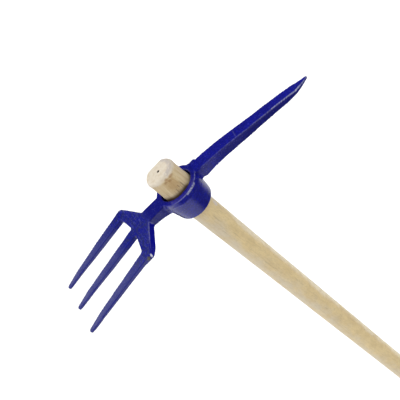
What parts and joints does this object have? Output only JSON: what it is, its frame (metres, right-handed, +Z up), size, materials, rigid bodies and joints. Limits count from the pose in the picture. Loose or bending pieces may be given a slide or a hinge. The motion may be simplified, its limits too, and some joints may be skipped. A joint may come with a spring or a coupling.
{
  "type": "pick fork",
  "caption": "Two-headed digging tool: a forged steel head with a flat three-tine fork opposite a pick point, on a straight wooden handle held by its own swell in the head's oval eye.",
  "frame": {"origin": "centre of the handle's flat butt end", "axes": "+Z up the handle to the head; +X towards the pick point, -X towards the fork; the plane Y = 0 is the tool's plane of symmetry"},
  "size_m": [0.4198, 0.1058, 0.9],
  "materials": {
    "handle_wood": "bare, sanded, matt",
    "blue_enamel": "gloss enamel over a forged surface, worn to grey along the edges"
  },
  "bodies": {
    "handle": {"handle": "handle_wood"},
    "head": {"head": "blue_enamel"}
  },
  "joints": [
    {"name": "head_slide", "type": "slide", "parent": "handle", "child": "head", "axis": [0, 0, 1], "range_m": [-0.824, 0]}
  ]
}
